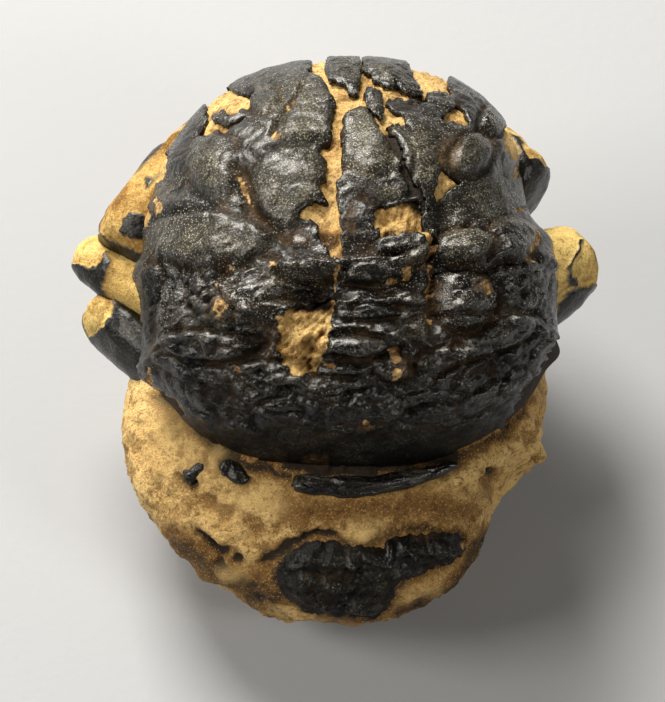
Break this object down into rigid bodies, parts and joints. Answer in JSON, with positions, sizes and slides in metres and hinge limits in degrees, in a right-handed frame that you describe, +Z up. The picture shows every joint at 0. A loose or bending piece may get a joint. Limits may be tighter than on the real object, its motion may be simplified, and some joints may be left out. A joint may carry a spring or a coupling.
{
  "type": "fossil crab",
  "caption": "Fossil crab: domed black carapace with leg stumps and folded tail, still on its rounded tan stone.",
  "frame": {"origin": "on the flat face that the stone rests on, straight below the crown of the carapace", "axes": "+Z up, +Y towards the crab's front, +X to the crab's right"},
  "size_m": [0.076, 0.0767, 0.0575],
  "materials": {
    "tan_stone": "fine-grained, matt",
    "limb_stone": "smooth, matt, with black shell left in places",
    "black_shell": "pitted, semi-gloss"
  },
  "bodies": {
    "root": {"matrix": "tan_stone", "carapace": "black_shell", "front_shell_plate_left": "black_shell", "front_shell_plate_right": "black_shell", "front_shell_chip": "black_shell", "first_tail_segment": "black_shell", "tail_plates": "black_shell", "left_claw_arm": "limb_stone", "left_leg_front": "limb_stone", "left_leg_rear": "limb_stone", "right_claw_arm": "limb_stone", "right_leg": "limb_stone", "buried_leg_tip": "black_shell", "buried_leg_splinter": "black_shell"}
  },
  "joints": []
}
